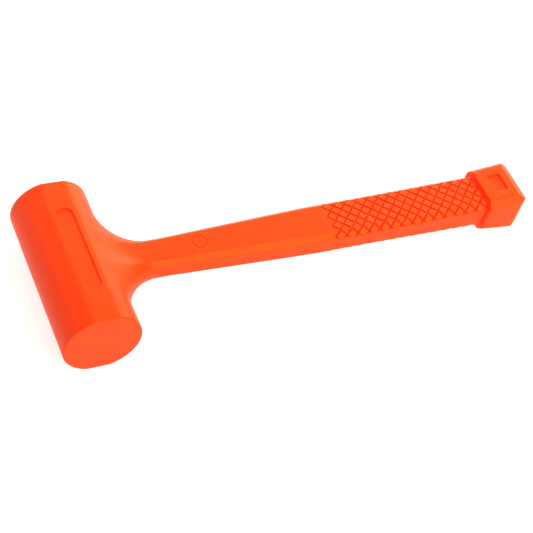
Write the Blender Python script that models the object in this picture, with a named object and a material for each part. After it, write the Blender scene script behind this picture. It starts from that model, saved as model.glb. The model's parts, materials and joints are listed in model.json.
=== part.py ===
"""A dead blow mallet: an orange jacket moulded over a canister of loose steel shot and a steel handle rod.

The mallet lies on its side. +X runs along the handle from the head to the butt, Y is the axis of the head,
and +Z is up, square to the handle's broad faces. The origin is under the middle of the mallet's length,
level with the lower flat of the head. Lengths are in metres.
"""

import math

import bmesh
import bpy
from mathutils import Matrix, Vector

MM = 0.001
GAP = 0.3 * MM  # between pieces that touch

# The whole mallet
OVERALL_LENGTH = 353.4 * MM
HEAD_RADIUS = 25.4 * MM
HEAD_LENGTH = 113.0 * MM
FLAT_HALF_WIDTH = 7.5 * MM  # of the flat along each side of the head
FLAT_LEVEL = math.sqrt(HEAD_RADIUS**2 - FLAT_HALF_WIDTH**2)
HEAD_EDGE = 1.0 * MM
HEAD = Vector((HEAD_RADIUS - OVERALL_LENGTH / 2, 0.0, FLAT_LEVEL))  # the middle of the head
REACH = OVERALL_LENGTH - HEAD_RADIUS  # from the head's axis to the butt's end

# Slots moulded into the head's flats
SLOT_LENGTH = 67.4 * MM
SLOT_WIDTH = 11.3 * MM
SLOT_OFFSET = 0.4 * MM
SLOT_DEPTH = 1.2 * MM

# Cross sections of the handle, as (half width along Y, half thickness along Z, corner cut), with their
# distances from the head's axis
NECK_END = 54.0 * MM
NECK_SECTION = (11.75 * MM, 8.45 * MM, 3.3 * MM)
HANDLE_SECTIONS = (
    (60.0 * MM, NECK_SECTION),
    (142.0 * MM, (15.15 * MM, 9.45 * MM, 4.2 * MM)),
    (168.5 * MM, (16.0 * MM, 9.6 * MM, 4.3 * MM)),  # where the handle stops widening
    (205.0 * MM, (15.9 * MM, 9.65 * MM, 4.05 * MM)),
)
GRIP_END_SECTION = (15.6 * MM, 11.4 * MM, 3.8 * MM)
BUTT_FRONT_SECTION = (18.6 * MM, 15.25 * MM, 5.0 * MM)
BUTT_REAR_SECTION = (18.75 * MM, 16.9 * MM, 3.8 * MM)
BUTT_END_SECTION = (15.6 * MM, 12.5 * MM, 0.7 * MM)

# The butt's shoulder is a slope along the sides and a steep step on the broad faces; its end is bevelled
SHOULDER_SIDE = 294.9 * MM
SHOULDER_FACE = 297.4 * MM
BUTT_FRONT = 297.8 * MM
BEVEL_SIDE = 322.8 * MM
BEVEL_FACE = 321.1 * MM

# The neck's fillets against the head
NECK_FILLET_Y = 28.2 * MM
NECK_FILLET_Z = 15.0 * MM
NECK_FILLET_BLEND = 1.5  # how the fillet's radius goes from one to the other round the handle
SIDE_STEPS = 3  # points along each side of the neck's eight-sided outline
FILLET_STEPS = 8

# Pockets moulded into the butt's broad faces, as offsets from the butt's end and from the middle
POCKET_FROM_END = 12.1 * MM
POCKET_LENGTH = 9.7 * MM
POCKET_WIDTH = 14.9 * MM
POCKET_OFFSET = 0.3 * MM
POCKET_DEPTH = 1.6 * MM

# Canister
CANISTER_RADIUS = 21.0 * MM
CANISTER_WALL = 2.5 * MM
CANISTER_LENGTH = 96.0 * MM
END_PLATE_THICKNESS = 3.0 * MM
END_WELD = 2.0 * MM  # leg of the weld inside each end of the tube
WELD_WAIST = 0.38  # where the middle of a weld's face lies, as a part of its leg from the corner
CANISTER_BORE = CANISTER_RADIUS - CANISTER_WALL
PLATE_OUTSIDE = CANISTER_LENGTH / 2 - END_WELD  # distance of a plate's outer face from the middle
PLATE_INSIDE = PLATE_OUTSIDE - END_PLATE_THICKNESS

# Handle rod, its weld and the plug that closes its hole in the butt
ROD_RADIUS = 6.35 * MM
ROD_END = REACH - 8.0 * MM
ROD_GROOVES = (95.0 * MM, 150.0 * MM, 205.0 * MM, 260.0 * MM)  # keys for the jacket, from the head's axis
ROD_GROOVE_WIDTH = 5.0 * MM
ROD_GROOVE_DEPTH = 0.8 * MM
ROD_CHAMFER = 1.0 * MM
ROD_WELD = 3.6 * MM
ROD_WELD_LIP = 0.5 * MM  # how far the weld's toe stops short of the canister's crown
PLUG_RADIUS = 7.5 * MM
PLUG_CHAMFER = 0.5 * MM

# Shot
BALL_RADIUS = 6.0 * MM
BALL_PITCH = 2 * BALL_RADIUS + GAP
BALL_LAYERS = 5
BALL_ANGLES = (-90, -150, -30, 150, 30)  # round the canister's bore, in degrees from +X towards +Z

ROUND = 56  # sides of a large round piece
SMALL_ROUND = 28
ALONG_Y = Matrix.Rotation(-math.pi / 2, 4, "X")  # turns +Z to +Y
ALONG_X = Matrix.Rotation(math.pi / 2, 4, "Y")  # turns +Z to +X


def clear_scene():
    for obj in list(bpy.data.objects):
        bpy.data.objects.remove(obj)


def material(name, colour, roughness, metallic=0.0):
    made = bpy.data.materials.new(name)
    made.use_nodes = True
    shader = made.node_tree.nodes["Principled BSDF"]
    shader.inputs["Base Color"].default_value = (*colour, 1.0)
    shader.inputs["Roughness"].default_value = roughness
    shader.inputs["Metallic"].default_value = metallic
    return made


def empty(name, location, parent=None):
    made = bpy.data.objects.new(name, None)
    made.empty_display_size = 0.01
    made.location = location
    made.parent = parent
    bpy.context.scene.collection.objects.link(made)
    return made


def place(name, shape, parent, finish=None, at=Vector((0, 0, 0)), turn=Matrix(), smooth_below=35):
    """Makes an object of a bmesh, in its parent's frame."""
    bmesh.ops.recalc_face_normals(shape, faces=shape.faces)
    mesh = bpy.data.meshes.new(name)
    shape.to_mesh(mesh)
    shape.free()
    mesh.shade_smooth()
    mesh.set_sharp_from_angle(angle=math.radians(smooth_below))
    if finish:
        mesh.materials.append(finish)
    return place_mesh(name, mesh, parent, at, turn)


def place_mesh(name, mesh, parent, at=Vector((0, 0, 0)), turn=Matrix()):
    made = bpy.data.objects.new(name, mesh)
    made.parent = parent
    made.matrix_basis = Matrix.Translation(at) @ turn
    bpy.context.scene.collection.objects.link(made)
    return made


def helper(name, shape, parent, at=Vector((0, 0, 0)), turn=Matrix()):
    """A shape that a Boolean joins or cuts away, and that isn't a piece of the mallet."""
    made = place(name, shape, parent, at=at, turn=turn)
    made.hide_render = True
    made.display_type = "WIRE"
    return made


def join(obj, *others):
    boolean(obj, "UNION", others)


def cut(obj, *others):
    boolean(obj, "DIFFERENCE", others)


def boolean(obj, operation, others):
    for other in others:
        step = obj.modifiers.new(f"{operation.lower()} {other.name}", "BOOLEAN")
        step.operation = operation
        step.object = other


def loft(rings):
    """A closed solid through rings of equally many points, from the first ring to the last."""
    shape = bmesh.new()
    rows = [[shape.verts.new(point) for point in ring] for ring in rings]
    for row, following in zip(rows, rows[1:]):
        for i in range(len(row)):
            j = (i + 1) % len(row)
            shape.faces.new((row[i], row[j], following[j], following[i]))
    shape.faces.new(reversed(rows[0]))
    shape.faces.new(rows[-1])
    return shape


def prism(outline, low, high):
    """An outline of (x, y) points, extruded along Z from low to high."""
    return loft([[(x, y, level) for x, y in outline] for level in (low, high)])


def turned(profile, sides):
    """A solid of revolution about Z, through (radius, height) points; a radius of 0 ends it in a point."""
    shape = bmesh.new()
    rows = []
    for radius, height in profile:
        count = sides if radius else 1
        angles = [2 * math.pi * i / sides for i in range(count)]
        rows.append([shape.verts.new((radius * math.cos(a), radius * math.sin(a), height)) for a in angles])
    for row, following in zip(rows, rows[1:]):
        for i in range(sides):
            j = (i + 1) % sides
            corners = [row[i % len(row)], row[j % len(row)], following[j % len(following)]]
            corners.append(following[i % len(following)])
            shape.faces.new(dict.fromkeys(corners))
    return shape


def turned_ring(profile, sides):
    """A ring turned about Z from a closed (radius, height) outline."""
    shape = bmesh.new()
    rows = []
    for i in range(sides):
        angle = 2 * math.pi * i / sides
        rows.append([shape.verts.new((r * math.cos(angle), r * math.sin(angle), h)) for r, h in profile])
    for i, row in enumerate(rows):
        following = rows[(i + 1) % sides]
        for k in range(len(profile)):
            n = (k + 1) % len(profile)
            shape.faces.new((row[k], row[n], following[n], following[k]))
    return shape


def disc(radius, low, high, sides=SMALL_ROUND):
    return turned([(0, low), (radius, low), (radius, high), (0, high)], sides)


def octagon(section):
    """The corners of an eight-sided section, as (y, z) points."""
    wide, thick, corner = section
    flat_y, flat_z = wide - corner, thick - corner
    quarter = [(wide, flat_z), (flat_y, thick)]
    half = quarter + [(-y, z) for y, z in reversed(quarter)]
    return half + [(-y, -z) for y, z in half]


def fine_octagon(section):
    """The same section with each side divided."""
    corners = octagon(section)
    points = []
    for (y0, z0), (y1, z1) in zip(corners, corners[1:] + corners[:1]):
        for step in range(SIDE_STEPS):
            t = step / SIDE_STEPS
            points.append((y0 + (y1 - y0) * t, z0 + (z1 - z0) * t))
    return points


def head_outline():
    """The head's cross section: a circle with a flat at the top and at the bottom."""
    start = math.asin(FLAT_LEVEL / HEAD_RADIUS)
    steps = ROUND // 2
    angles = [start - 2 * start * i / steps for i in range(steps + 1)]
    side = [(HEAD_RADIUS * math.cos(a), HEAD_RADIUS * math.sin(a)) for a in angles]
    return side + [(-x, -y) for x, y in side]


def slot_outline():
    radius = SLOT_WIDTH / 2
    straight = SLOT_LENGTH / 2 - radius
    steps = 10
    arc = [math.pi * i / steps for i in range(steps + 1)]
    end = [(radius * math.cos(a), straight + radius * math.sin(a)) for a in arc]
    return end + [(-x, -y) for x, y in end]


def fillet_centre(lean, start, radius):
    """How far from the head's axis a circle of this radius is centred when it touches both handle and head.

    The plane of the fillet holds the handle's axis and leans out of the XY plane; lean is the sine of that
    angle. In it the head's side is x = sqrt(R^2 - (r * lean)^2), and the handle is the line r = start.
    """
    near, far = 0.0, HEAD_RADIUS + 2 * radius
    for _ in range(40):
        middle = (near + far) / 2
        if wall_distance(middle, start + radius, lean)[0] > radius:
            far = middle
        else:
            near = middle
    return far


def wall_distance(x, r, lean):
    """The distance from a point in a leaning plane to the head's side, and the nearest point there."""
    best = None
    steps = 400
    for i in range(steps + 1):
        wall_r = 1.2 * r * i / steps
        level = wall_r * lean
        if level >= HEAD_RADIUS:
            break
        wall_x = math.sqrt(HEAD_RADIUS**2 - level**2)
        distance = math.hypot(x - wall_x, r - wall_r)
        if best is None or distance < best[0]:
            best = (distance, wall_x, wall_r)
    return best


def neck_rings():
    """Rings from inside the head to the straight handle, along a fillet that meets both smoothly."""
    paths = []
    for y, z in fine_octagon(NECK_SECTION):
        start = math.hypot(y, z)
        lean = abs(z) / start
        radius = NECK_FILLET_Y + (NECK_FILLET_Z - NECK_FILLET_Y) * lean**NECK_FILLET_BLEND
        centre = fillet_centre(lean, start, radius)
        _, wall_x, wall_r = wall_distance(centre, start + radius, lean)
        sweep = math.atan2(centre - wall_x, start + radius - wall_r)
        path = [(wall_x * 0.75, wall_r * 0.9)]
        for step in range(FILLET_STEPS + 1):
            angle = sweep * (1 - step / FILLET_STEPS)
            path.append((centre - radius * math.sin(angle), start + radius * (1 - math.cos(angle))))
        paths.append([(x, r * y / start, r * z / start) for x, r in path])
    return [list(ring) for ring in zip(*paths)]


def section_ring(section, side, face):
    """A section's points, with the sides at one distance along the handle and the broad faces at another."""
    _, thick, corner = section
    points = []
    for y, z in fine_octagon(section):
        part = min(max((abs(z) - thick + corner) / corner, 0.0), 1.0)
        points.append((side + (face - side) * part, y, z))
    return points


def handle_rings():
    """The outside of the neck, handle, grip and butt, from the head to the butt's end."""
    rings = neck_rings() + [section_ring(section, x, x) for x, section in HANDLE_SECTIONS]
    rings.append(section_ring(GRIP_END_SECTION, SHOULDER_SIDE, SHOULDER_FACE))
    rings.append(section_ring(BUTT_FRONT_SECTION, BUTT_FRONT, BUTT_FRONT))
    rings.append(section_ring(BUTT_REAR_SECTION, BEVEL_SIDE, BEVEL_FACE))
    rings.append(section_ring(BUTT_END_SECTION, REACH, REACH))
    return rings


def canister_pocket():
    """The hollow that the canister leaves in the jacket, with a boss that fills each recessed end."""
    end = CANISTER_LENGTH / 2 + GAP
    boss = PLATE_OUTSIDE + GAP
    outer = CANISTER_RADIUS + GAP
    weld_inner = CANISTER_BORE - END_WELD - 3 * GAP
    weld_outer = CANISTER_BORE - GAP
    half = [(0, boss), (weld_inner, boss), (weld_outer, end), (outer, end)]
    return turned([(r, -h) for r, h in half] + half[::-1], ROUND)


def make_jacket(frame, finish):
    outline = head_outline()
    head = prism(outline, -HEAD_LENGTH / 2, HEAD_LENGTH / 2)
    jacket = place("jacket", head, frame, finish, at=HEAD, turn=ALONG_Y, smooth_below=12)
    edge = jacket.modifiers.new("head edge", "BEVEL")
    edge.width = HEAD_EDGE
    edge.segments = 3
    edge.limit_method = "ANGLE"
    edge.angle_limit = math.radians(60)
    join(jacket, helper("handle_outside", loft(handle_rings()), frame, at=HEAD))

    slot_floor = FLAT_LEVEL - SLOT_DEPTH
    pocket_middle = REACH - POCKET_FROM_END - POCKET_LENGTH / 2
    slope = (BUTT_REAR_SECTION[1] - BUTT_FRONT_SECTION[1]) / (BEVEL_FACE - BUTT_FRONT)
    pocket_level = BUTT_FRONT_SECTION[1] + slope * (pocket_middle - BUTT_FRONT)
    pocket_at = Vector((pocket_middle, POCKET_OFFSET, pocket_level))
    on_slope = Matrix.Rotation(-math.atan(slope), 4, "Y")
    half_l, half_w = POCKET_LENGTH / 2, POCKET_WIDTH / 2
    pocket_outline = [(-half_l, -half_w), (half_l, -half_w), (half_l, half_w), (-half_l, half_w)]
    for side, turn in (("top", Matrix()), ("bottom", Matrix.Rotation(math.pi, 4, "X"))):
        slot = prism(slot_outline(), slot_floor, HEAD_RADIUS)
        slot_at = turn @ Vector((0, SLOT_OFFSET, 0))
        cut(jacket, helper(f"slot_{side}", slot, frame, at=HEAD + slot_at, turn=turn))
        pocket = prism(pocket_outline, -POCKET_DEPTH, POCKET_DEPTH)
        cut(jacket, helper(f"pocket_{side}", pocket, frame, at=HEAD + turn @ pocket_at, turn=turn @ on_slope))

    cut(jacket, helper("canister_space", canister_pocket(), frame, at=HEAD, turn=ALONG_Y))
    rod_space = disc(ROD_RADIUS + GAP, CANISTER_RADIUS / 2, ROD_END + GAP)
    cut(jacket, helper("rod_space", rod_space, frame, at=HEAD, turn=ALONG_X))
    weld_radius = ROD_RADIUS + ROD_WELD + 2 * GAP
    weld_space = disc(weld_radius, CANISTER_RADIUS / 2, CANISTER_RADIUS + ROD_WELD + 2 * GAP)
    cut(jacket, helper("rod_weld_space", weld_space, frame, at=HEAD, turn=ALONG_X))
    plug_space = disc(PLUG_RADIUS + GAP, ROD_END - GAP, REACH + 5 * MM)
    cut(jacket, helper("plug_space", plug_space, frame, at=HEAD, turn=ALONG_X))


def make_canister(frame, steel, weld):
    half = CANISTER_LENGTH / 2
    wall = [(CANISTER_BORE, -half), (CANISTER_RADIUS, -half), (CANISTER_RADIUS, half), (CANISTER_BORE, half)]
    place("canister_tube", turned_ring(wall, ROUND), frame, steel, at=HEAD, turn=ALONG_Y)
    plate_radius = CANISTER_BORE - GAP
    leg = END_WELD - GAP
    for name, facing in (("a", -1), ("b", 1)):
        low, high = sorted((facing * PLATE_INSIDE, facing * PLATE_OUTSIDE))
        plate = disc(plate_radius, low, high, ROUND)
        place(f"end_plate_{name}", plate, frame, steel, at=HEAD, turn=ALONG_Y)
        foot = PLATE_OUTSIDE + GAP
        bead = [(plate_radius - leg, foot), (plate_radius, foot), (plate_radius, foot + leg)]
        hollow = (1 - WELD_WAIST) * leg
        bead.append((plate_radius - hollow, foot + hollow))
        ring = turned_ring([(r, facing * h) for r, h in bead], ROUND)
        place(f"end_weld_{name}", ring, frame, weld, at=HEAD, turn=ALONG_Y)


def make_rod(frame, steel, weld):
    profile = [(0, CANISTER_RADIUS / 2), (ROD_RADIUS, CANISTER_RADIUS / 2)]
    slope = ROD_GROOVE_DEPTH
    for middle in ROD_GROOVES:
        start, end = middle - ROD_GROOVE_WIDTH / 2, middle + ROD_GROOVE_WIDTH / 2
        floor = ROD_RADIUS - ROD_GROOVE_DEPTH
        profile += [(ROD_RADIUS, start), (floor, start + slope), (floor, end - slope), (ROD_RADIUS, end)]
    profile += [(ROD_RADIUS, ROD_END - ROD_CHAMFER), (ROD_RADIUS - ROD_CHAMFER, ROD_END), (0, ROD_END)]
    rod = place("handle_rod", turned(profile, SMALL_ROUND), frame, steel, at=HEAD, turn=ALONG_X)

    inner = ROD_RADIUS + GAP
    toe = inner + ROD_WELD
    top = CANISTER_RADIUS + ROD_WELD
    waist = (inner + WELD_WAIST * ROD_WELD, CANISTER_RADIUS + WELD_WAIST * ROD_WELD)
    low = CANISTER_RADIUS / 2
    shoulder = CANISTER_RADIUS - ROD_WELD_LIP
    bead = [(inner, low), (toe, low), (toe, shoulder), waist, (inner + GAP, top), (inner, top)]
    bead_ring = turned_ring(bead, SMALL_ROUND)
    collar = place("rod_weld", bead_ring, frame, weld, at=HEAD, turn=ALONG_X)

    end = CANISTER_LENGTH / 2
    saddle = disc(CANISTER_RADIUS + GAP, -end, end, 2 * ROUND)
    saddle_cutter = helper("canister_saddle", saddle, frame, at=HEAD, turn=ALONG_Y)
    cut(rod, saddle_cutter)
    cut(collar, saddle_cutter)


def make_plug(frame, finish):
    start = ROD_END + GAP
    profile = [(0, start), (PLUG_RADIUS, start), (PLUG_RADIUS, REACH - PLUG_CHAMFER)]
    profile += [(PLUG_RADIUS - PLUG_CHAMFER, REACH), (0, REACH)]
    place("butt_plug", turned(profile, SMALL_ROUND), frame, finish, at=HEAD, turn=ALONG_X)


def make_shot(frame, finish):
    """Balls lying in the lower part of the canister, in layers across it, and a row along its middle."""
    slide = empty("shot_slide", HEAD, frame)
    ball = bmesh.new()
    bmesh.ops.create_uvsphere(ball, u_segments=12, v_segments=8, radius=BALL_RADIUS)
    mesh = bpy.data.meshes.new("shot_ball")
    ball.to_mesh(mesh)
    ball.free()
    mesh.shade_smooth()
    mesh.materials.append(finish)
    ring = BALL_PITCH  # so that neighbours 60 degrees apart keep the gap
    across = [(ring * math.cos(math.radians(a)), ring * math.sin(math.radians(a))) for a in BALL_ANGLES]
    number = 0
    for x, z in across + [(0.0, 0.0)]:
        for layer in range(BALL_LAYERS):
            number += 1
            y = (layer - (BALL_LAYERS - 1) / 2) * BALL_PITCH
            place_mesh(f"shot_ball_{number:02d}", mesh, slide, at=Vector((x, y, z)))


def main():
    clear_scene()
    orange = material("orange_polyurethane", (0.86, 0.065, 0.022), 0.42)
    steel = material("mill_steel", (0.42, 0.42, 0.43), 0.38, 1.0)
    weld = material("weld_metal", (0.30, 0.29, 0.28), 0.55, 1.0)
    shot = material("polished_shot", (0.62, 0.62, 0.64), 0.2, 1.0)
    mallet = empty("mallet", (0, 0, 0))
    make_jacket(mallet, orange)
    make_plug(mallet, orange)
    make_canister(mallet, steel, weld)
    make_rod(mallet, steel, weld)
    make_shot(mallet, shot)


main()
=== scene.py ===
"""The looks of the dead blow mallet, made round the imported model.

The jacket's skin is described by one signed distance function, in millimetres from the middle of the head
with X along the handle, and meshed at a fine spacing, so that its fillets, soft edges and moulded pattern
are real geometry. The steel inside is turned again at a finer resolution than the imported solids.
"""

import json
import math

import bmesh
import bpy
import numpy as np
from mathutils import Matrix, Vector, noise


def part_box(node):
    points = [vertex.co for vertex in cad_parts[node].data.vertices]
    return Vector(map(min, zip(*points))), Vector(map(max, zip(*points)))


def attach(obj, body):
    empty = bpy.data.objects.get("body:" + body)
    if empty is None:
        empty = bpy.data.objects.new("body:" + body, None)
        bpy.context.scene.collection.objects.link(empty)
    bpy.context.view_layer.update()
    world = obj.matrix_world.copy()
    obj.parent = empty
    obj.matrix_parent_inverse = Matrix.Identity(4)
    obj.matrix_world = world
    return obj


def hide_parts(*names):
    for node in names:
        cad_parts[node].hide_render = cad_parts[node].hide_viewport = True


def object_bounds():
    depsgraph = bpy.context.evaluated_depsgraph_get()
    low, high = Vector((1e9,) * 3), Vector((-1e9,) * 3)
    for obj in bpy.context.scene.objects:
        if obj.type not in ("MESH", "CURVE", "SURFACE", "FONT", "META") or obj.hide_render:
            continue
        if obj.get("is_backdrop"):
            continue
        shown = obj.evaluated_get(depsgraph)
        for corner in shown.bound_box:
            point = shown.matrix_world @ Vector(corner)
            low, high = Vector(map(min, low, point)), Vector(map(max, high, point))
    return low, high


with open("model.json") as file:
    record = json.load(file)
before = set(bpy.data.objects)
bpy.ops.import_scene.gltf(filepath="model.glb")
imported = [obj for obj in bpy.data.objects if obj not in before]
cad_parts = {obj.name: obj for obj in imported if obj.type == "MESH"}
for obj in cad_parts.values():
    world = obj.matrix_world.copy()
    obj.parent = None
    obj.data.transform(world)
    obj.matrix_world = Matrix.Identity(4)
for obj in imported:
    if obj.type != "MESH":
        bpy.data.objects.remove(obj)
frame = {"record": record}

CAD_LOW, CAD_HIGH = (Vector(corner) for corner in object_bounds())
MM = 0.001

# The head and the whole length, in millimetres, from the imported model
LENGTH = (CAD_HIGH.x - CAD_LOW.x) / MM
HEAD_LENGTH = (CAD_HIGH.y - CAD_LOW.y) / MM
FLAT_LEVEL = (CAD_HIGH.z - CAD_LOW.z) / MM / 2
HEAD_RADIUS = 25.4
REACH = LENGTH - HEAD_RADIUS  # from the head's axis to the butt's end
HEAD = Vector((CAD_LOW.x + HEAD_RADIUS * MM, 0.0, FLAT_LEVEL * MM))
HEAD_EDGE = 1.0
FLAT_EDGE = 0.6

# Cross sections of the handle: distance from the head's axis, half width along Y, half thickness, corner cut
NECK_END = 60.0
HANDLE_SECTIONS = (
    (NECK_END, 11.75, 8.45, 3.3),
    (142.0, 15.15, 9.45, 4.2),
    (168.5, 16.0, 9.6, 4.3),
    (205.0, 15.9, 9.65, 4.05),
    (294.9, 15.6, 11.4, 3.8),
)
GRIP_END = np.array(HANDLE_SECTIONS[-1][1:])

# The butt: a slope up from the handle along its sides, a steep step on its faces, and long bevels at its end
SHOULDER_SIDE = 294.9
SHOULDER_CORNER = 296.2
SHOULDER_FACE = 297.4
BUTT_FRONT = 297.8
BUTT_FRONT_SECTION = np.array((18.6, 15.25, 5.0))
BUTT_REAR_SECTION = np.array((18.75, 16.9, 3.8))
BUTT_END_SECTION = np.array((15.6, 12.5, 0.7))
BEVEL_SIDE = 322.8
BEVEL_FACE = 321.1
BUTT_EDGE = 0.4
BUTT_LONG_EDGE = 0.5
SHOULDER_FILLET = 0.5
HANDLE_EDGE = 0.8  # radius of the long edges
HANDLE_ROOT = 18.0  # the handle starts this far out, inside the head
HANDLE_STOP = REACH - 10  # and ends inside the butt

# Neck fillets, along Y and along Z
FILLET_Y = 28.2
FILLET_Z = 15.0
FILLET_BLEND = 1.5
NECK_FLARE = 1.1  # how much further the fillets run along the handle than along the head
NECK_REACH = 100.0  # the fillets are over before this

MARGIN = 4.0  # how far round a feature its distance is worked out

# Slots in the head's flats and pockets in the butt's broad faces
SLOT_LENGTH = 67.4
SLOT_WIDTH = 11.3
SLOT_OFFSET = 0.4
SLOT_DEPTH = 1.2
POCKET_FROM_END = 12.1
POCKET_LENGTH = 9.7
POCKET_WIDTH = 14.9
POCKET_OFFSET = 0.3
POCKET_DEPTH = 1.6
POCKET_CORNER = 0.7
POCKET_LEVEL = 10.0  # the butt's broad faces lie beyond this

# Radii of a sunk feature's rim and of the corner round its floor
SLOT_ROUNDING = (0.25, 0.3)
POCKET_ROUNDING = (0.2, 0.25)
GROOVE_ROUNDING = (0.15, 0.2)

# A plain moulding ring with a pointer in it, on the handle's upper face
RING_X = 84.1
RING_Y = 0.7
RING_RADIUS = 4.7
RING_WIDTH = 0.9
RING_DEPTH = 0.5

# Diamond pattern of the grip, in x and in the distance round the section from the middle of a broad face
DIAMOND_LENGTH = 8.47
DIAMOND_WIDTH = 8.45
DIAMOND_START = 177.4  # tips of the first row
DIAMOND_OFFSET = 1.45
GROOVE_WIDTH = 1.25
GROOVE_DEPTH = 1.0
GROOVE_FADE = (15.2, 18.2)  # where the grooves run out, round the section
RIDGE_CROWN = 1.2  # how far from a groove a ridge gets its full painted highlight

# Canister, rod and plug, from their packed boxes
TUBE_LOW, TUBE_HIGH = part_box("canister_tube")
ROD_LOW, ROD_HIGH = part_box("handle_rod")
PLUG_LOW, PLUG_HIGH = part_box("butt_plug")
PLATE_LOW, PLATE_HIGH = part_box("end_plate_b")
GAP = 0.3
CANISTER_RADIUS = (TUBE_HIGH.z - TUBE_LOW.z) / MM / 2
CANISTER_HALF = (TUBE_HIGH.y - TUBE_LOW.y) / MM / 2
CANISTER_WALL = 2.5
CANISTER_BORE = CANISTER_RADIUS - CANISTER_WALL
PLATE_INSIDE = PLATE_LOW.y / MM
PLATE_OUTSIDE = PLATE_HIGH.y / MM
END_WELD = CANISTER_HALF - PLATE_OUTSIDE
ROD_RADIUS = (ROD_HIGH.y - ROD_LOW.y) / MM / 2
ROD_END = (ROD_HIGH.x - HEAD.x) / MM
ROD_WELD = 3.6
ROD_GROOVES = (95.0, 150.0, 205.0, 260.0)
ROD_GROOVE_WIDTH = 5.0
ROD_GROOVE_DEPTH = 0.8
PLUG_RADIUS = (PLUG_HIGH.y - PLUG_LOW.y) / MM / 2

CELL = 0.45  # spacing of the jacket's mesh
BLOCK = 8
MOST_FACES = 170000
ROUND = 160
ALONG_Y = Matrix.Rotation(-math.pi / 2, 4, "X")
ALONG_X = Matrix.Rotation(math.pi / 2, 4, "Y")


# ---- distances, in millimetres, negative inside ----

def meet(a, b, radius):
    """What lies in both a and b, with the edge between them rounded."""
    corner = np.hypot(np.maximum(a + radius, 0), np.maximum(b + radius, 0))
    return np.minimum(np.maximum(a, b), -radius) + corner


def weld(a, b, radius):
    """What lies in a or b, with the corner between them filleted."""
    corner = np.hypot(np.maximum(radius - a, 0), np.maximum(radius - b, 0))
    return np.maximum(np.minimum(a, b), radius) - corner


def flared(a, b, reach_a, reach_b):
    """The same with an elliptical fillet, which ends that far from each."""
    u = np.maximum(1 - a / reach_a, 0)
    v = np.maximum(1 - b / reach_b, 0)
    total = np.maximum(u * u + v * v, 1e-9)
    scale = (reach_a * u * u + reach_b * v * v) / total
    return np.where(u + v > 0, (1 - np.sqrt(total)) * scale, np.minimum(a, b))


def sunk(surface, outline, depth, edge, floor):
    """The surface with the inside of an outline sunk into it."""
    return meet(surface, weld(-outline, surface + depth, floor), edge)


def octagon(y, z, section, edge):
    """Distance to an eight-sided section whose corners are rounded."""
    wide = section[0] - edge
    thick = section[1] - edge
    corner = section[2] - (2 - math.sqrt(2)) * edge
    y, z = np.abs(y), np.abs(z)
    side = np.hypot(y - wide, np.maximum(z - thick + corner, 0))
    face = np.hypot(z - thick, np.maximum(y - wide + corner, 0))
    slant = (y + z - wide - thick + corner) / math.sqrt(2)
    along = (wide - y + z - thick + corner) / math.sqrt(2)
    past = along - np.clip(along, 0, corner * math.sqrt(2))
    outside = np.minimum(np.minimum(side, face), np.hypot(slant, past))
    inside = np.maximum(np.maximum(y - wide, z - thick), slant)
    return np.where(inside > 0, outside, inside) - edge


def section_at(x):
    places, *sizes = zip(*HANDLE_SECTIONS)
    return [np.interp(x, places, size) for size in sizes]


def head(x, y, z):
    side = meet(np.hypot(x, z) - HEAD_RADIUS, np.abs(z) - FLAT_LEVEL, FLAT_EDGE)
    return meet(side, np.abs(y) - HEAD_LENGTH / 2, HEAD_EDGE)


def handle(x, y, z):
    across = octagon(y, z, section_at(x), HANDLE_EDGE)
    return across, meet(across, HANDLE_ROOT - x, 0.0)


def neck_radius(y, z):
    lean = np.abs(z) / np.maximum(np.hypot(y, z), 1e-6)
    return FILLET_Y + (FILLET_Z - FILLET_Y) * lean**FILLET_BLEND


def flank(value, x, x0, value0, x1, value1):
    """Distance outside a slanting plane through two points of (x, value)."""
    slope = (value1 - value0) / (x1 - x0)
    return (value - value0 - slope * (x - x0)) / math.hypot(1, slope)


def butt(x, y, z):
    """The butt: eight flared sides, each with a shoulder, and bevels behind the four broad ones."""
    y, z = np.abs(y), np.abs(z)
    low, front, rear, end = GRIP_END, BUTT_FRONT_SECTION, BUTT_REAR_SECTION, BUTT_END_SECTION
    side = wedge(y, x, SHOULDER_SIDE, low[0], front[0], BEVEL_SIDE, rear[0])
    side = meet(side, flank(y, x, BEVEL_SIDE, rear[0], REACH, end[0]), BUTT_EDGE)
    face = wedge(z, x, SHOULDER_FACE, low[1], front[1], BEVEL_FACE, rear[1])
    face = meet(face, flank(z, x, BEVEL_FACE, rear[1], REACH, end[1]), BUTT_EDGE)
    slants = [(s[0] + s[1] - s[2]) / math.sqrt(2) for s in (low, front, rear)]
    corner = wedge((y + z) / math.sqrt(2), x, SHOULDER_CORNER, slants[0], slants[1], BEVEL_FACE, slants[2])
    sides, faces = (meet(part, corner, BUTT_LONG_EDGE) for part in (side, face))
    body = meet(sides, faces, BUTT_LONG_EDGE)
    return meet(body, x - REACH, BUTT_EDGE)


def wedge(value, x, start, low, front, bevel, rear):
    """One side of the butt with the shoulder in front of it."""
    side = flank(value, x, BUTT_FRONT, front, bevel, rear)
    return meet(side, flank(value, x, start, low, BUTT_FRONT, front), BUTT_EDGE)


def stadium(x, y, length, width):
    """Distance to a slot's outline with round ends, its length along Y."""
    return np.hypot(x, np.maximum(np.abs(y) - (length - width) / 2, 0)) - width / 2


def rectangle(x, y, length, width, corner):
    dx = np.abs(x) - length / 2 + corner
    dy = np.abs(y) - width / 2 + corner
    return np.hypot(np.maximum(dx, 0), np.maximum(dy, 0)) + np.minimum(np.maximum(dx, dy), 0) - corner


def ring_mark(x, y):
    """A ring with a short pointer from its middle."""
    x, y = x - RING_X, y - RING_Y
    ring = np.abs(np.hypot(x, y) - RING_RADIUS) - RING_WIDTH / 2
    pointer = np.hypot(x - np.clip(x, -1.0, 1.2), y) - 0.35
    return np.minimum(ring, pointer)


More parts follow.
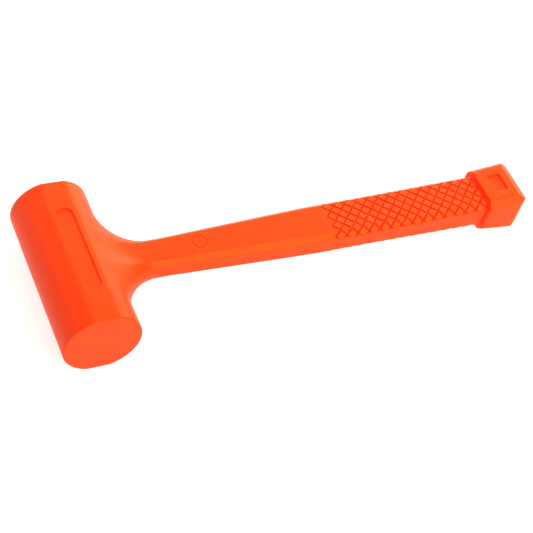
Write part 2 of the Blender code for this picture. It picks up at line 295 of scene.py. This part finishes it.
def diamond_grooves(x, y, z):
    """Outline of the grip's grooves, how deep they are there, and the distance in front of the first row."""
    wide, thick, corner = section_at(x)
    across, up = np.abs(y), np.abs(z)
    flat = wide - corner
    slope = np.maximum(across - flat + thick - up, 0) / math.sqrt(2)
    round_it = np.minimum(across, flat) + slope
    s = (round_it * np.sign(y) * np.sign(z) - DIAMOND_OFFSET) / DIAMOND_WIDTH
    run = (x - DIAMOND_START) / DIAMOND_LENGTH - 0.5
    spacing = 1 / math.hypot(1 / DIAMOND_LENGTH, 1 / DIAMOND_WIDTH)
    lines = [np.abs(v - np.round(v)) * spacing for v in (run - s + 0.5, run + s + 0.5)]
    nearest = np.minimum(*lines)
    zigzag = np.abs(s - np.round(s)) - 0.5
    before = (zigzag - run) * spacing
    outline = np.maximum(nearest, before) - GROOVE_WIDTH / 2
    start, end = GROOVE_FADE
    depth = GROOVE_DEPTH * np.clip((end - round_it) / (end - start), 0, 1)
    return outline, depth, before


def jacket_distance(points):
    """Distance to the jacket's outside at (n, 3) points from the middle of the head."""
    x, y, z = points.T
    across, grip = handle(x, y, z)
    distance = grip.copy()
    near = x < NECK_REACH
    if near.any():
        xn, yn, zn = x[near], y[near], z[near]
        radius = neck_radius(yn, zn)
        distance[near] = flared(head(xn, yn, zn), grip[near], NECK_FLARE * radius, radius)
    near = x > DIAMOND_START - MARGIN
    if near.any():
        xn, yn, zn = x[near], y[near], z[near]
        outline, depth, _ = diamond_grooves(xn, yn, zn)
        distance[near] = sunk(across[near], outline, depth, *GROOVE_ROUNDING)
    near = x > SHOULDER_SIDE - 2 * MARGIN
    if near.any():
        shaft = meet(distance[near], x[near] - HANDLE_STOP, 0.0)
        distance[near] = weld(shaft, butt(x[near], y[near], z[near]), SHOULDER_FILLET)
    turned_y = y * np.sign(z)
    near = (np.abs(z) > FLAT_LEVEL - MARGIN) & (np.abs(x) < SLOT_WIDTH)
    outline = stadium(x[near], turned_y[near] - SLOT_OFFSET, SLOT_LENGTH, SLOT_WIDTH)
    distance[near] = sunk(distance[near], outline, SLOT_DEPTH, *SLOT_ROUNDING)
    middle = REACH - POCKET_FROM_END - POCKET_LENGTH / 2
    near = (np.abs(x - middle) < POCKET_LENGTH) & (np.abs(z) > POCKET_LEVEL)
    outline = rectangle(
        x[near] - middle, turned_y[near] - POCKET_OFFSET, POCKET_LENGTH, POCKET_WIDTH, POCKET_CORNER)
    distance[near] = sunk(distance[near], outline, POCKET_DEPTH, *POCKET_ROUNDING)
    near = (np.hypot(x - RING_X, y - RING_Y) < RING_RADIUS + MARGIN) & (z > 0)
    distance[near] = sunk(distance[near], ring_mark(x[near], y[near]), RING_DEPTH, *GROOVE_ROUNDING)
    return distance


# ---- meshing ----

def in_parts(function, points, most=400000):
    return np.concatenate([function(points[i:i + most]) for i in range(0, len(points), most)])


def sample_grid(distance, low, cell, blocks):
    """The distance on a grid of blocks, worked out only where the surface may be."""
    step = cell * BLOCK
    index = np.indices(blocks).reshape(3, -1).T
    coarse = in_parts(distance, low + (index + 0.5) * step - cell / 2)
    grid = np.repeat(coarse.reshape(blocks), BLOCK, 0).repeat(BLOCK, 1).repeat(BLOCK, 2)
    cells = grid.reshape(blocks[0], BLOCK, blocks[1], BLOCK, blocks[2], BLOCK)
    offsets = np.indices((BLOCK, BLOCK, BLOCK)).reshape(3, -1).T
    near = index[np.abs(coarse) < step * 1.1]
    for batch in np.array_split(near, len(near) // 500 + 1):
        points = low + (batch[:, None] * BLOCK + offsets) * cell
        values = distance(points.reshape(-1, 3)).reshape(-1, BLOCK, BLOCK, BLOCK)
        i, j, k = batch.T
        cells[i, :, j, :, k, :] = values
    return grid


def surface_net(distance, low, high, cell):
    """Points and outward quads of the surface where the distance is zero."""
    blocks = np.ceil((high - low) / (cell * BLOCK)).astype(int)
    grid = sample_grid(distance, low, cell, blocks)
    inside = grid < 0
    size = np.array(grid.shape)
    corners = np.indices((2, 2, 2)).reshape(3, -1).T
    spans = [[slice(i, n - 1 + i) for i, n in zip(corner, size)] for corner in corners]
    count = sum(inside[tuple(span)].astype(np.uint8) for span in spans)
    cells = np.argwhere((count > 0) & (count < len(corners)))
    number = np.full(size, -1)
    number[tuple(cells.T)] = np.arange(len(cells))
    total, crossings = np.zeros((len(cells), 3)), np.zeros(len(cells))
    for axis in range(3):
        along = np.eye(3, dtype=int)[axis]
        for start in corners[corners[:, axis] == 0]:
            at = cells + start
            here, there = grid[tuple(at.T)], grid[tuple((at + along).T)]
            cross = (here < 0) != (there < 0)
            part = here[cross] / (here[cross] - there[cross])
            total[cross] += at[cross] + part[:, None] * along
            crossings[cross] += 1
    quads = []
    for axis in range(3):
        along, u, v = np.roll(np.eye(3, dtype=int), -axis, 0)
        last = [slice(1, -1)] * 3
        following = list(last)
        last[axis], following[axis] = slice(0, -1), slice(1, None)
        edges = np.argwhere(inside[tuple(last)] != inside[tuple(following)]) + u + v
        corner_cells = [edges - a * u - b * v for a, b in ((1, 1), (0, 1), (0, 0), (1, 0))]
        around = np.stack([number[tuple(cell_at.T)] for cell_at in corner_cells], 1)
        outward = inside[tuple(edges.T)]
        quads.append(np.where(outward[:, None], around, around[:, ::-1]))
    return low + total / crossings[:, None] * cell, np.concatenate(quads)


def normals_at(distance, points, step):
    """The direction in which the distance grows, measured over twice the step."""
    slope = np.stack([distance(points + move) - distance(points - move) for move in step * np.eye(3)], 1)
    return slope / (2 * step)


def settled(distance, points, most):
    """The points moved onto the surface."""
    for _ in range(3):
        slope = normals_at(distance, points, 0.02)
        length = np.maximum((slope**2).sum(1), 0.2)
        move = np.clip(distance(points), -most, most) / length
        points = points - move[:, None] * slope
    return points


# ---- objects ----

def link(name, mesh, finish):
    obj = bpy.data.objects.new(name, mesh)
    bpy.context.scene.collection.objects.link(obj)
    if finish:
        mesh.materials.clear()
        mesh.materials.append(finish)
    return obj


def applied(obj):
    """Replaces the object's mesh by its mesh with the modifiers applied."""
    graph = bpy.context.evaluated_depsgraph_get()
    mesh = bpy.data.meshes.new_from_object(obj.evaluated_get(graph))
    obj.modifiers.clear()
    obj.data = mesh
    return obj


def turned_mesh(name, profile, sides=ROUND, wave=None):
    """A mesh turned about Z from a closed outline of (radius, height); a radius of 0 is a point on the axis.

    wave(angle, corner) gives how far a corner of the outline stands out from its radius at an angle.
    """
    shape = bmesh.new()
    rows = []
    for corner, (radius, height) in enumerate(profile):
        angles = [2 * math.pi * i / sides for i in range(sides if radius else 1)]
        out = [radius + (wave(a, corner) if wave else 0.0) for a in angles]
        points = [(r * math.cos(a), r * math.sin(a), height) for r, a in zip(out, angles)]
        rows.append([shape.verts.new(point) for point in points])
    pairs = zip(rows, rows[1:] + rows[:1])
    for row, following in pairs:
        if len(row) == len(following) == 1:
            continue
        for i in range(sides):
            j = (i + 1) % sides
            corners = [row[i % len(row)], row[j % len(row)], following[j % len(following)]]
            corners.append(following[i % len(following)])
            shape.faces.new(dict.fromkeys(corners))
    bmesh.ops.recalc_face_normals(shape, faces=shape.faces)
    mesh = bpy.data.meshes.new(name)
    shape.to_mesh(mesh)
    shape.free()
    mesh.shade_smooth()
    mesh.set_sharp_from_angle(angle=math.radians(30))
    return mesh


def place(name, mesh, finish, body, slot, nodes, turn=Matrix(), at=(0, 0, 0)):
    """A finished piece, from a mesh in millimetres round the middle of the head."""
    mesh.transform(Matrix.Translation(HEAD + Vector(at) * MM) @ Matrix.Scale(MM, 4) @ turn)
    piece = link(name, mesh, finish)
    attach(piece, body)
    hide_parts(*nodes)
    return piece


def hollow_cutters():
    """Everything inside the jacket that it is moulded round, as meshes."""
    end, boss = CANISTER_HALF + GAP, PLATE_OUTSIDE + GAP
    inner, outer = CANISTER_BORE - END_WELD - 3 * GAP, CANISTER_BORE - GAP
    half = [(0, boss), (inner, boss), (outer, end), (CANISTER_RADIUS + GAP, end)]
    canister = turned_mesh("canister_space", [(r, -h) for r, h in half] + half[::-1])
    canister.transform(ALONG_Y)
    weld_radius = ROD_RADIUS + ROD_WELD + 2 * GAP
    weld_end = CANISTER_RADIUS + ROD_WELD + 2 * GAP
    start = CANISTER_RADIUS / 2
    profile = [(0, start), (weld_radius, start), (weld_radius, weld_end), (ROD_RADIUS + GAP, weld_end)]
    profile += [(ROD_RADIUS + GAP, ROD_END - GAP), (PLUG_RADIUS + GAP, ROD_END - GAP)]
    profile += [(PLUG_RADIUS + GAP, REACH + 5), (0, REACH + 5)]
    rod = turned_mesh("rod_space", profile)
    rod.transform(ALONG_X)
    return [link(mesh.name, mesh, None) for mesh in (canister, rod)]


def shade_skin(mesh, step):
    """Shades the jacket's outside by its true normals, and leaves the hollows flat."""
    points = np.empty(len(mesh.vertices) * 3)
    mesh.vertices.foreach_get("co", points)
    points = points.reshape(-1, 3)
    skin = normals_at(jacket_distance, points, step)
    skin /= np.maximum(np.linalg.norm(skin, axis=1), 1e-9)[:, None]
    middles, flat = np.empty(len(mesh.polygons) * 3), np.empty(len(mesh.polygons) * 3)
    mesh.polygons.foreach_get("center", middles)
    mesh.polygons.foreach_get("normal", flat)
    totals, corners = np.empty(len(mesh.polygons), int), np.empty(len(mesh.loops), int)
    mesh.polygons.foreach_get("loop_total", totals)
    mesh.loops.foreach_get("vertex_index", corners)
    hidden = np.repeat(jacket_distance(middles.reshape(-1, 3)) < -0.2, totals)
    normals = skin[corners]
    normals[hidden] = np.repeat(flat.reshape(-1, 3), totals, 0)[hidden]
    mesh.shade_smooth()
    mesh.normals_split_custom_set(normals)


def mark_grip(mesh):
    """Stores how deep each point lies in a groove of the grip, and how much it is on a ridge, from 0 to 1,
    for the painted shade in the grooves and the painted highlight on the ridges.
    """
    points = np.empty(len(mesh.vertices) * 3)
    mesh.vertices.foreach_get("co", points)
    x, y, z = points.reshape(-1, 3).T
    depth = np.clip(-handle(x, y, z)[0] / GROOVE_DEPTH, 0, 1)
    outline, fade, before = diamond_grooves(x, y, z)
    ridge = np.clip(outline / RIDGE_CROWN, 0, 1) * (before < 0)
    on_grip = (x > DIAMOND_START - DIAMOND_LENGTH) & (x < SHOULDER_SIDE)
    for name, values in (("groove", depth), ("ridge", ridge * fade / GROOVE_DEPTH)):
        values = np.where(on_grip, values, 0.0)
        mesh.attributes.new(name, "FLOAT", "POINT").data.foreach_set("value", values)


def make_jacket(finish):
    margin = 2 * CELL
    low = np.array((-HEAD_RADIUS, -HEAD_LENGTH / 2, -HEAD_RADIUS)) - margin
    high = np.array((REACH, HEAD_LENGTH / 2, HEAD_RADIUS)) + margin
    points, quads = surface_net(jacket_distance, low, high, CELL)
    points = settled(jacket_distance, points, CELL / 2)
    mesh = bpy.data.meshes.new("jacket_skin")
    mesh.from_pydata(points.tolist(), [], quads.tolist())
    piece = link("jacket_skin", mesh, None)
    thin = piece.modifiers.new("thin", "DECIMATE")
    thin.ratio = min(1.0, MOST_FACES / (2 * len(quads)))
    cutters = hollow_cutters()
    for cutter in cutters:
        cut = piece.modifiers.new(cutter.name, "BOOLEAN")
        cut.solver = "MANIFOLD"
        cut.operation = "DIFFERENCE"
        cut.object = cutter
    applied(piece)
    mesh = piece.data
    for old in cutters + [piece]:
        bpy.data.objects.remove(old)
    shade_skin(mesh, CELL / 2)
    mark_grip(mesh)
    return place("jacket_skin", mesh, finish, "mallet", "orange_polyurethane", ["jacket"])


# ---- materials ----

def add_node(tree, kind, inputs=(), **settings):
    """A shader node with settings, and inputs that are either values or other nodes' outputs."""
    node = tree.nodes.new(kind)
    for key, value in settings.items():
        setattr(node, key, value)
    for key, value in dict(inputs).items():
        if isinstance(value, bpy.types.NodeSocket):
            tree.links.new(value, node.inputs[key])
        else:
            node.inputs[key].default_value = value
    return node


def new_material(name, **shader_values):
    made = bpy.data.materials.new(name)
    made.use_nodes = True
    shader = made.node_tree.nodes["Principled BSDF"]
    for key, value in shader_values.items():
        shader.inputs[key.replace("_", " ")].default_value = value
    place = add_node(made.node_tree, "ShaderNodeTexCoord").outputs["Object"]
    return made, made.node_tree, shader, place


def noise_at(tree, place, size, detail=2.0, roughness=0.5):
    """Noise between 0 and 1 whose features are about this many millimetres across."""
    inputs = {"Vector": place, "Scale": 1 / (size * MM), "Detail": detail, "Roughness": roughness}
    return add_node(tree, "ShaderNodeTexNoise", inputs).outputs["Fac"]


def spread(tree, value, low, high, from_low=0.3, from_high=0.7):
    inputs = {"Value": value, "From Min": from_low, "From Max": from_high, "To Min": low, "To Max": high}
    return add_node(tree, "ShaderNodeMapRange", inputs).outputs["Result"]


def blend_colour(tree, factor, a, b):
    mix = add_node(tree, "ShaderNodeMix", data_type="RGBA")
    tree.links.new(factor, mix.inputs["Factor"])
    for socket, value in ((mix.inputs[6], a), (mix.inputs[7], b)):
        if isinstance(value, bpy.types.NodeSocket):
            tree.links.new(value, socket)
        else:
            socket.default_value = (*value, 1.0)
    return mix.outputs[2]


def math_node(tree, operation, *values):
    return add_node(tree, "ShaderNodeMath", dict(enumerate(values)), operation=operation).outputs[0]


def bump(tree, height, distance, strength, below=None):
    inputs = {"Height": height, "Distance": distance * MM, "Strength": strength}
    if below is not None:
        inputs["Normal"] = below
    return add_node(tree, "ShaderNodeBump", inputs).outputs["Normal"]


def orange_moulding():
    """Orange polyurethane with a low sheen, a painted highlight on its convex edges and grip ridges, painted
    shade in its folds and grooves, and a painted glow that keeps its shaded sides red.
    """
    # the jacket emits a painted glow of its own, which keeps its shaded sides red
    made, tree, shader, place = new_material(
        "orange_polyurethane", IOR=1.25, Specular_IOR_Level=0.4, Specular_Tint=WARM_SHEEN,
        Emission_Color=PAINTED_GLOW_COLOUR, Emission_Strength=PAINTED_GLOW_STRENGTH)
    clouds = noise_at(tree, place, 26, 3.0)
    colour = blend_colour(tree, spread(tree, clouds, 0, 1), ORANGE_DEEP, ORANGE)
    edge = add_node(tree, "ShaderNodeNewGeometry").outputs["Pointiness"]
    # painted highlight: convex edges and the grip's ridges are made paler where light would catch them
    painted_highlight = spread(tree, edge, 0, 1, *HIGHLIGHT_EDGE)
    painted_highlight = math_node(tree, "MULTIPLY", painted_highlight, spread(tree, noise_at(tree, place, 4, 4.0), 0.4, 1.0))
    ridge = add_node(tree, "ShaderNodeAttribute", attribute_name="ridge").outputs["Fac"]
    painted_highlight = math_node(tree, "MAXIMUM", painted_highlight, math_node(tree, "MULTIPLY", ridge, RIDGE_HIGHLIGHT))
    colour = blend_colour(tree, painted_highlight, colour, ORANGE_PAINTED_HIGHLIGHT)
    groove = add_node(tree, "ShaderNodeAttribute", attribute_name="groove").outputs["Fac"]
    # painted shade: concave folds and the grip's grooves are made deeper red where shade would fall
    painted_shade = spread(tree, edge, 1, 0, *SHADED_HOLLOW)
    painted_shade = math_node(tree, "MAXIMUM", painted_shade, spread(tree, groove, 0, 1, *GROOVE_SHADE))
    colour = blend_colour(tree, painted_shade, colour, ORANGE_PAINTED_SHADE)
    tree.links.new(colour, shader.inputs["Base Color"])
    gloss = spread(tree, noise_at(tree, place, 9, 4.0), 0.34, 0.46)
    gloss = math_node(tree, "ADD", gloss, math_node(tree, "MULTIPLY", painted_highlight, 0.15))
    tree.links.new(gloss, shader.inputs["Roughness"])
    sink = bump(tree, noise_at(tree, place, 16, 1.0), 0.35, 0.25)
    skin = bump(tree, noise_at(tree, place, 0.5, 3.0, 0.6), 0.03, 0.35, sink)
    tree.links.new(skin, shader.inputs["Normal"])
    return made


def rolled_steel():
    """Mill steel: grey with a darker scale, brushed marks and a few warm oxide stains."""
    made, tree, shader, place = new_material("mill_steel", Metallic=1.0)
    scale = spread(tree, noise_at(tree, place, 5, 5.0, 0.6), 0, 1)
    colour = blend_colour(tree, scale, STEEL_SCALE, STEEL_BARE)
    stain = spread(tree, noise_at(tree, place, 14, 6.0, 0.65), 0, 0.5, 0.58, 0.72)
    colour = blend_colour(tree, stain, colour, STEEL_STAIN)
    tree.links.new(colour, shader.inputs["Base Color"])
    stretch = add_node(tree, "ShaderNodeMapping", {"Vector": place, "Scale": (0.08, 0.08, 1.0)})
    marks = noise_at(tree, stretch.outputs["Vector"], 0.4, 3.0)
    tree.links.new(spread(tree, marks, 0.28, 0.5), shader.inputs["Roughness"])
    tree.links.new(bump(tree, marks, 0.05, 0.4), shader.inputs["Normal"])
    return made


def weld_metal():
    """Weld bead: dull grey with a blue and straw heat tint."""
    made, tree, shader, place = new_material("weld_metal", Metallic=1.0)
    tint = spread(tree, noise_at(tree, place, 3, 4.0), 0, 1)
    colour = blend_colour(tree, tint, HEAT_BLUE, HEAT_STRAW)
    tree.links.new(colour, shader.inputs["Base Color"])
    tree.links.new(spread(tree, noise_at(tree, place, 1.2, 3.0), 0.38, 0.62), shader.inputs["Roughness"])
    tree.links.new(bump(tree, noise_at(tree, place, 0.7, 4.0), 0.08, 0.5), shader.inputs["Normal"])
    return made


def polished_shot():
    """Tumbled steel shot: bright, with small dents and a thin grey film."""
    made, tree, shader, place = new_material("polished_shot", Metallic=1.0)
    film = spread(tree, noise_at(tree, place, 3.5, 4.0), 0, 1)
    colour = blend_colour(tree, film, SHOT_FILM, SHOT_BARE)
    tree.links.new(colour, shader.inputs["Base Color"])
    tree.links.new(spread(tree, noise_at(tree, place, 1.5, 3.0), 0.14, 0.3), shader.inputs["Roughness"])
    cells = add_node(tree, "ShaderNodeTexVoronoi", {"Vector": place, "Scale": 1 / (DENT_SIZE * MM)})
    dents = spread(tree, cells.outputs["Distance"], 0, 1, 0.0, 0.35)
    tree.links.new(bump(tree, dents, 0.04, 0.35), shader.inputs["Normal"])
    return made


def pale_floor():
    made, tree, shader, place = new_material("pale_floor", Roughness=0.7, Emission_Strength=FLOOR_GLOW)
    shader.inputs["Emission Color"].default_value = (1, 1, 1, 1)
    shade = spread(tree, noise_at(tree, place, 400, 3.0), 0, 1)
    colour = blend_colour(tree, shade, FLOOR_COLOUR, [FLOOR_UNEVENNESS * c for c in FLOOR_COLOUR])
    tree.links.new(colour, shader.inputs["Base Color"])
    return made


ORANGE = (0.86, 0.042, 0.001)
ORANGE_DEEP = (0.84, 0.039, 0.001)
# painted highlight, for the convex edges and the grip's ridges
ORANGE_PAINTED_HIGHLIGHT = (0.90, 0.10, 0.006)
ORANGE_PAINTED_SHADE = (0.80, 0.010, 0.002)  # painted shade, deeper in tone where the moulding folds in on itself and shade falls
WARM_SHEEN = (1.0, 1.0, 0.3, 1.0)
PAINTED_GLOW_COLOUR = (1.0, 0.02, 0.05, 1.0)  # painted glow: the jacket emits a little light of its own, so its shaded sides stay red
# strength of the painted glow
PAINTED_GLOW_STRENGTH = 0.12
HIGHLIGHT_EDGE = (0.53, 0.6)  # how convex an edge is, from the first painted highlight to the full one
SHADED_HOLLOW = (0.38, 0.48)  # how concave, from full painted shade to none
GROOVE_SHADE = (0.1, 0.6)  # the part of a groove's depth over which its painted shade deepens
# how strong the painted highlight on the grip's ridges is
RIDGE_HIGHLIGHT = 0.35
STEEL_SCALE = (0.36, 0.36, 0.37)
STEEL_BARE = (0.56, 0.55, 0.54)
STEEL_STAIN = (0.30, 0.17, 0.09)
HEAT_BLUE = (0.24, 0.25, 0.30)
HEAT_STRAW = (0.42, 0.36, 0.27)
SHOT_FILM = (0.50, 0.50, 0.52)
SHOT_BARE = (0.72, 0.72, 0.73)
DENT_SIZE = 1.6
FLOOR_GLOW = 0.8  # the floor is a light table, lit from below
FLOOR_COLOUR = (0.35, 0.35, 0.35)
FLOOR_UNEVENNESS = 0.985


# ---- the steel inside and the plug ----

def ripples(pitch, height, raised):
    """The stacked ripples of a weld bead, on the corners of its outline that are raised."""
    def wave(angle, corner):
        phase = (angle / pitch) % 1.0
        return height * raised[corner] * (abs(math.sin(math.pi * phase)) - 0.5)
    return wave


def make_canister(steel, weld_finish):
    rim = 0.35
    bore, out, end = CANISTER_BORE, CANISTER_RADIUS, CANISTER_HALF
    half = [(bore, end - rim), (bore + rim, end), (out - rim, end), (out, end - rim)]
    outline = half + [(r, -h) for r, h in reversed(half)]
    place("canister_tube_steel", turned_mesh("canister_tube_steel", outline), steel, "mallet", "mill_steel",
          ["canister_tube"], ALONG_Y)
    plate_radius = bore - GAP
    edge = 0.3
    for side, facing in (("a", -1), ("b", 1)):
        low, high = PLATE_INSIDE, PLATE_OUTSIDE
        outline = [(0, low), (plate_radius - edge, low), (plate_radius, low + edge), (plate_radius, high)]
        outline.append((0, high))
        plate = turned_mesh(f"end_plate_{side}_steel", [(r, facing * h) for r, h in outline])
        place(plate.name, plate, steel, "mallet", "mill_steel", [f"end_plate_{side}"], ALONG_Y)
        leg, foot = END_WELD - GAP, PLATE_OUTSIDE + GAP
        steps = 8
        arc = []
        for i in range(steps + 1):
            angle = math.pi / 2 * i / steps
            bulge = leg * (1 - 0.28 * math.sin(2 * angle))
            arc.append((plate_radius - bulge * math.cos(angle), foot + bulge * math.sin(angle)))
        bead = [(plate_radius, foot)] + arc
        raised = [0] + [-math.sin(math.pi * i / steps) for i in range(steps + 1)]
        turns = 2 * math.pi / 64
        outline = [(r, facing * h) for r, h in bead]
        ring = turned_mesh(f"end_weld_{side}_bead", outline, 512, ripples(turns, 0.22, raised))
        place(ring.name, ring, weld_finish, "mallet", "weld_metal", [f"end_weld_{side}"], ALONG_Y)


def saddle(piece):
    """Cuts the end that sits on the canister to the canister's curve."""
    mesh = turned_mesh("saddle", [(0, -CANISTER_HALF), (CANISTER_RADIUS + GAP, -CANISTER_HALF),
                                  (CANISTER_RADIUS + GAP, CANISTER_HALF), (0, CANISTER_HALF)], 2 * ROUND)
    mesh.transform(ALONG_Y)
    cutter = link("saddle", mesh, None)
    cut = piece.modifiers.new("saddle", "BOOLEAN")
    cut.solver = "MANIFOLD"
    cut.operation = "DIFFERENCE"
    cut.object = cutter
    applied(piece)
    bpy.data.objects.remove(cutter)
    return piece


def saddled(name, profile, sides, wave=None):
    mesh = turned_mesh(name, profile, sides, wave)
    mesh.transform(ALONG_X)
    piece = saddle(link(name, mesh, None))
    mesh = piece.data
    bpy.data.objects.remove(piece)
    mesh.shade_smooth()
    mesh.set_sharp_from_angle(angle=math.radians(30))
    return mesh


def make_rod(steel, weld_finish):
    low, chamfer = CANISTER_RADIUS / 2, 1.0
    profile = [(0, low), (ROD_RADIUS, low)]
    for middle in ROD_GROOVES:
        start, end = middle - ROD_GROOVE_WIDTH / 2, middle + ROD_GROOVE_WIDTH / 2
        floor = ROD_RADIUS - ROD_GROOVE_DEPTH
        profile += [(ROD_RADIUS, start), (floor, start + ROD_GROOVE_DEPTH), (floor, end - ROD_GROOVE_DEPTH)]
        profile.append((ROD_RADIUS, end))
    profile += [(ROD_RADIUS, ROD_END - chamfer), (ROD_RADIUS - chamfer, ROD_END), (0, ROD_END)]
    mesh = saddled("handle_rod_steel", profile, ROUND)
    place("handle_rod_steel", mesh, steel, "mallet", "mill_steel", ["handle_rod"])

    inner = ROD_RADIUS + GAP
    toe, top = inner + ROD_WELD, CANISTER_RADIUS + ROD_WELD
    steps = 10
    arc = []
    for i in range(steps + 1):
        angle = math.pi / 2 * i / steps
        arc.append((toe - (ROD_WELD - GAP) * math.sin(angle), top - ROD_WELD * math.cos(angle)))
    bead = [(inner, low), (toe, low)] + arc + [(inner, top)]
    raised = [0, 0] + [math.sin(math.pi * i / steps) for i in range(steps + 1)] + [0]
    mesh = saddled("rod_weld_bead", bead, 320, ripples(2 * math.pi / 32, 0.3, raised))
    place("rod_weld_bead", mesh, weld_finish, "mallet", "weld_metal", ["rod_weld"])


def make_plug(finish):
    """The plug that closes the rod's hole, with a soft edge and a shallow dish from moulding."""
    start, lead, edge, dish = ROD_END + GAP, 0.3, 0.5, 0.25
    outline = [(0, start), (PLUG_RADIUS - lead, start), (PLUG_RADIUS, start + lead)]
    outline.append((PLUG_RADIUS, REACH - edge))
    steps = 6
    for i in range(1, steps + 1):
        angle = math.pi / 2 * i / steps
        outline.append((PLUG_RADIUS - edge + edge * math.cos(angle), REACH - edge + edge * math.sin(angle)))
    rim = PLUG_RADIUS - 1.6
    for i in range(steps):
        part = i / steps
        outline.append((rim * (1 - part), REACH - dish * math.sin(math.pi / 2 * part)))
    outline.append((0, REACH - dish))
    mesh = turned_mesh("butt_plug_skin", outline)
    place("butt_plug_skin", mesh, finish, "mallet", "orange_polyurethane", ["butt_plug"], ALONG_X)


def make_shot(finish):
    """A smooth, slightly dented ball in the place of each packed one."""
    for name in frame["record"]["behaviour"]["bodies"]["shot"]:
        low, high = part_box(name)
        middle = (low + high) / 2
        radius = (high.z - low.z) / MM / 2
        ball = bmesh.new()
        bmesh.ops.create_icosphere(ball, subdivisions=5, radius=radius)
        for corner in ball.verts:
            dent = noise.noise(corner.co / 4 + middle * 1000)
            corner.co *= 1 - 0.006 * max(dent, 0.0)
        mesh = bpy.data.meshes.new(f"{name}_steel")
        ball.to_mesh(mesh)
        ball.free()
        mesh.shade_smooth()
        place(mesh.name, mesh, finish, "shot", "polished_shot", [name], at=(middle - HEAD) / MM)


# ---- floor, light and camera ----

CAMERA_AT = Vector((-239.9, -508.0, 684.3))  # from the middle of the head, as are the next
CAMERA_TARGET = Vector((124.0, -22.6, 0.0))
CAMERA_ROLL = math.radians(18.46)
CAMERA_LENS = 94.53
CAMERA_FILM = 36.0

# Softboxes round the mallet, with their azimuths from +X, their elevations, and their powers in watts
LAMPS = (
    ("overhead", 0, 80, 6),
    ("front", 270, 45, 11),
    ("front_right", 300, 12, 9),
    ("front_right_high", 289, 35, 24),
    ("right", 30, 12, 11),
    ("right_high", 30, 45, 8),
    ("back_right", 60, 12, 12),
    ("back", 90, 12, 25),
    ("back_high", 90, 45, 7),
    ("back_left", 130, 12, 9),
)
LAMP_COLOUR = (1.0, 0.97, 0.6)
LAMP_SIZE = 1.0  # in metres
LAMP_DISTANCE = 1600.0
WORLD_LIGHT = 0.03


def aimed(at, target, roll=0.0):
    """Where a camera or a light stands, looking at a target along its own -Z."""
    back = (at - target).normalized()
    level = Vector((0, 0, 1)).cross(back).normalized()
    up = back.cross(level)
    tilted_up = up * math.cos(roll) - level * math.sin(roll)
    tilted_right = tilted_up.cross(back)
    turn = Matrix((tilted_right, tilted_up, back)).transposed()
    return Matrix.Translation(HEAD + at * MM) @ turn.to_4x4()


def make_camera():
    camera = bpy.data.objects.new("camera", bpy.data.cameras.new("camera"))
    bpy.context.scene.collection.objects.link(camera)
    camera.data.lens = CAMERA_LENS
    camera.data.sensor_width = CAMERA_FILM
    camera.data.clip_start = 0.05
    camera.matrix_world = aimed(CAMERA_AT, CAMERA_TARGET, CAMERA_ROLL)
    bpy.context.scene.camera = camera


def make_floor():
    """The mallet tips onto the edge of the head's flat and the lower edge of the butt."""
    flat_edge = math.sqrt(HEAD_RADIUS**2 - FLAT_LEVEL**2)
    butt_low = FLAT_LEVEL - BUTT_REAR_SECTION[1]
    tilt = math.atan(butt_low / (BEVEL_FACE - flat_edge))
    half = 5.0
    mesh = bpy.data.meshes.new("floor")
    corners = [(x * half, y * half, 0) for x, y in ((-1, -1), (1, -1), (1, 1), (-1, 1))]
    mesh.from_pydata(corners, [], [(0, 1, 2, 3)])
    floor = link("floor", mesh, pale_floor())
    turn = Matrix.Rotation(-tilt, 4, "Y")
    floor.matrix_world = Matrix.Translation(HEAD + Vector((flat_edge, 0, -FLAT_LEVEL)) * MM) @ turn
    floor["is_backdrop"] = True


def softbox(name, azimuth, elevation, power):
    """A square lamp that faces the middle of the mallet from an azimuth and an elevation in degrees."""
    lamp = bpy.data.lights.new(name, "AREA")
    lamp.shape = "SQUARE"
    lamp.size = LAMP_SIZE
    lamp.energy = power
    lamp.color = LAMP_COLOUR
    obj = bpy.data.objects.new(name, lamp)
    bpy.context.scene.collection.objects.link(obj)
    turn = Matrix.Rotation(math.radians(azimuth), 3, "Z") @ Matrix.Rotation(-math.radians(elevation), 3, "Y")
    middle = -HEAD / MM
    obj.matrix_world = aimed(middle + turn @ Vector((LAMP_DISTANCE, 0, 0)), middle)


def make_light():
    world = bpy.data.worlds.new("studio")
    world.use_nodes = True
    world.node_tree.nodes["Background"].inputs["Color"].default_value = (1, 1, 1, 1)
    world.node_tree.nodes["Background"].inputs["Strength"].default_value = WORLD_LIGHT
    bpy.context.scene.world = world
    for lamp in LAMPS:
        softbox(*lamp)
    bpy.context.scene.view_settings.view_transform = "Standard"


def main():
    make_camera()
    make_floor()
    make_light()
    orange, steel, weld_finish, shot = orange_moulding(), rolled_steel(), weld_metal(), polished_shot()
    make_jacket(orange)
    make_plug(orange)
    make_canister(steel, weld_finish)
    make_rod(steel, weld_finish)
    make_shot(shot)


main()
